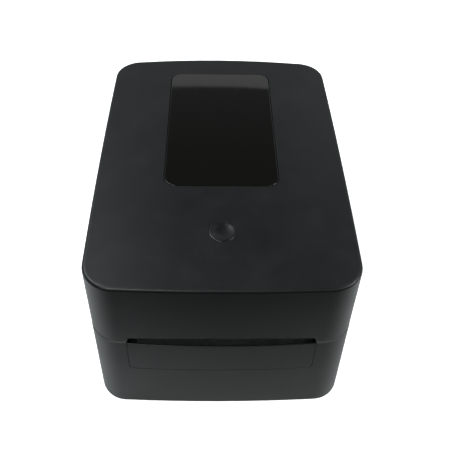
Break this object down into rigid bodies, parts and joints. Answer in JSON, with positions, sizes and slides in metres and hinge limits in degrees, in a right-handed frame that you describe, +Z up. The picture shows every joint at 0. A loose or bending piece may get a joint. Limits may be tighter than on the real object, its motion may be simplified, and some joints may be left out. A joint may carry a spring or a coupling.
{
  "type": "desktop label printer",
  "caption": "Clamshell desktop printer that feeds a label roll between a sprung print head and a rubber roller and lets the labels out through a front slot.",
  "frame": {"origin": "centre of the overall box at table level", "axes": "+X to the right seen from the front, -Y to the front where labels leave, +Z up; hinge line along X at the rear"},
  "size_m": [0.2078, 0.3034, 0.1565],
  "materials": {
    "shell_black": "fine-grained satin black",
    "window_smoke": "polished smoked plastic",
    "button_black": "satin black",
    "inner_black": "matt black",
    "foot_rubber": "matt black rubber",
    "platen_rubber": "ground rubber",
    "steel_sheet": "zinc-plated sheet",
    "steel_rod": "ground steel",
    "screw_steel": "zinc-plated",
    "gear_acetal": "natural acetal",
    "pinion_brass": "machined brass",
    "motor_steel": "black painted laminations",
    "board_green": "solder-masked board",
    "parts_black": "moulded electronic parts",
    "socket_steel": "tinned shell",
    "sink_alloy": "extruded aluminium",
    "head_ceramic": "glazed ceramic"
  },
  "bodies": {
    "base": {"base_case": "shell_black", "base_deck": "inner_black", "media_tub": "inner_black", "front_panel": "shell_black", "rubber_feet": "foot_rubber", "deck_screws": "screw_steel", "main_board": "board_green", "board_parts": "parts_black", "io_board": "board_green", "usb_port": "socket_steel", "power_jack": "parts_black", "rocker_housing": "button_black", "plate_left": "steel_sheet", "plate_right": "steel_sheet", "frame_screws": "screw_steel", "bush_left": "gear_acetal", "bush_right": "gear_acetal", "idler_post": "steel_rod", "stepper_motor": "motor_steel", "tear_bar": "steel_sheet", "sensor_rail": "steel_rod", "hinge_pins": "steel_rod"},
    "rocker": {"power_rocker": "button_black"},
    "platen": {"platen_shaft": "steel_rod", "platen_rubber": "platen_rubber", "platen_gear": "gear_acetal"},
    "idler": {"idler_gear": "gear_acetal"},
    "pinion": {"motor_pinion": "pinion_brass"},
    "sensor": {"sensor_carriage": "inner_black"},
    "guide_l": {"guide_left": "inner_black"},
    "guide_r": {"guide_right": "inner_black"},
    "guide_gear": {"guide_pinion": "gear_acetal"},
    "hub_l": {"roll_hub_left": "inner_black"},
    "hub_r": {"roll_hub_right": "inner_black"},
    "cover": {"cover_shell": "shell_black", "window_pane": "window_smoke", "window_retainer": "inner_black", "window_screws": "screw_steel", "button_board": "board_green", "chassis_left": "steel_sheet", "chassis_right": "steel_sheet", "chassis_screws": "screw_steel", "pressure_bar": "steel_sheet", "ribbon_bar": "steel_rod", "pivot_rod": "steel_rod", "head_springs": "steel_rod"},
    "feed": {"feed_button": "button_black"},
    "head": {"head_bracket": "steel_sheet", "heat_sink": "sink_alloy", "print_head": "head_ceramic"},
    "supply_l": {"supply_hub_left": "gear_acetal"},
    "supply_r": {"supply_hub_right": "gear_acetal"},
    "takeup_l": {"takeup_hub_left": "gear_acetal", "takeup_gear": "gear_acetal"},
    "takeup_r": {"takeup_hub_right": "gear_acetal"},
    "ribbon_idler": {"ribbon_gear": "gear_acetal"},
    "latch_l": {"latch_left": "inner_black"},
    "latch_r": {"latch_right": "inner_black"},
    "release_l": {"release_left": "button_black"},
    "release_r": {"release_right": "button_black"}
  },
  "joints": [
    {"name": "cover_hinge", "type": "hinge", "parent": "base", "child": "cover", "pos_m": [0, 0.14815, 0.0902], "axis": [-1, 0, 0], "range_deg": [0, 88]},
    {"name": "platen_spin", "type": "hinge", "parent": "base", "child": "platen", "pos_m": [0, -0.128, 0.0825], "axis": [1, 0, 0], "continuous": true},
    {"name": "idler_spin", "type": "hinge", "parent": "base", "child": "idler", "pos_m": [-0.0775, -0.11049, 0.05857], "axis": [1, 0, 0], "continuous": true},
    {"name": "motor_spin", "type": "hinge", "parent": "base", "child": "pinion", "pos_m": [-0.0775, -0.09041, 0.04684], "axis": [1, 0, 0], "continuous": true},
    {"name": "rocker_tilt", "type": "hinge", "parent": "base", "child": "rocker", "pos_m": [-0.035, 0.14645, 0.015], "axis": [0, 0, 1], "range_deg": [-8, 8]},
    {"name": "sensor_shift", "type": "slide", "parent": "base", "child": "sensor", "axis": [1, 0, 0], "range_m": [-0.045, 0.045]},
    {"name": "guide_left_slide", "type": "slide", "parent": "base", "child": "guide_l", "axis": [1, 0, 0], "range_m": [0, 0.04]},
    {"name": "guide_right_slide", "type": "slide", "parent": "base", "child": "guide_r", "axis": [-1, 0, 0], "range_m": [0, 0.0401]},
    {"name": "guide_pinion_turn", "type": "hinge", "parent": "base", "child": "guide_gear", "pos_m": [0, 0.022, 0.008], "axis": [0, 0, -1], "range_deg": [0, 287]},
    {"name": "roll_hub_left_spin", "type": "hinge", "parent": "guide_l", "child": "hub_l", "pos_m": [-0.05, 0.073, 0.07], "axis": [1, 0, 0], "continuous": true},
    {"name": "roll_hub_right_spin", "type": "hinge", "parent": "guide_r", "child": "hub_r", "pos_m": [0.05, 0.073, 0.07], "axis": [1, 0, 0], "continuous": true},
    {"name": "feed_button_press", "type": "slide", "parent": "cover", "child": "feed", "axis": [0, 0, -1], "range_m": [0, 0.0012], "stiffness_N_per_m": 600},
    {"name": "head_pivot", "type": "hinge", "parent": "cover", "child": "head", "pos_m": [0, -0.098, 0.099], "axis": [-1, 0, 0], "range_deg": [0, 3], "stiffness_Nm_per_rad": 1.5, "deforming": ["head_springs"]},
    {"name": "supply_hub_left_spin", "type": "hinge", "parent": "cover", "child": "supply_l", "pos_m": [-0.057, -0.056, 0.118], "axis": [1, 0, 0], "continuous": true},
    {"name": "supply_hub_right_spin", "type": "hinge", "parent": "cover", "child": "supply_r", "pos_m": [0.057, -0.056, 0.118], "axis": [1, 0, 0], "continuous": true},
    {"name": "ribbon_idler_spin", "type": "hinge", "parent": "cover", "child": "ribbon_idler", "pos_m": [-0.0775, -0.128, 0.10415], "axis": [1, 0, 0], "continuous": true},
    {"name": "takeup_left_spin", "type": "hinge", "parent": "cover", "child": "takeup_l", "pos_m": [-0.057, -0.11306, 0.12196], "axis": [1, 0, 0], "continuous": true},
    {"name": "takeup_right_spin", "type": "hinge", "parent": "cover", "child": "takeup_r", "pos_m": [0.057, -0.11306, 0.12196], "axis": [1, 0, 0], "continuous": true},
    {"name": "release_left_press", "type": "slide", "parent": "cover", "child": "release_l", "axis": [1, 0, 0], "range_m": [0, 0.0025], "stiffness_N_per_m": 400},
    {"name": "release_right_press", "type": "slide", "parent": "cover", "child": "release_r", "axis": [-1, 0, 0], "range_m": [0, 0.0025], "stiffness_N_per_m": 400},
    {"name": "latch_left_swing", "type": "hinge", "parent": "cover", "child": "latch_l", "pos_m": [-0.0935, -0.06, 0.112], "axis": [0, -1, 0], "range_deg": [0, 10.5]},
    {"name": "latch_right_swing", "type": "hinge", "parent": "cover", "child": "latch_r", "pos_m": [0.0935, -0.06, 0.112], "axis": [0, 1, 0], "range_deg": [0, 10.5]}
  ],
  "couplings": [
    {"joint": "idler_spin", "follows": "platen_spin", "ratio": -0.68182},
    {"joint": "motor_spin", "follows": "platen_spin", "ratio": 2.1429},
    {"joint": "ribbon_idler_spin", "follows": "platen_spin", "ratio": -1.25},
    {"joint": "takeup_left_spin", "follows": "platen_spin", "ratio": 0.88235},
    {"joint": "guide_right_slide", "follows": "guide_left_slide", "ratio": 1},
    {"joint": "guide_pinion_turn", "follows": "guide_left_slide", "rad_per_m": 125},
    {"joint": "latch_left_swing", "follows": "release_left_press", "rad_per_m": 71.429},
    {"joint": "latch_right_swing", "follows": "release_right_press", "rad_per_m": 71.429}
  ]
}
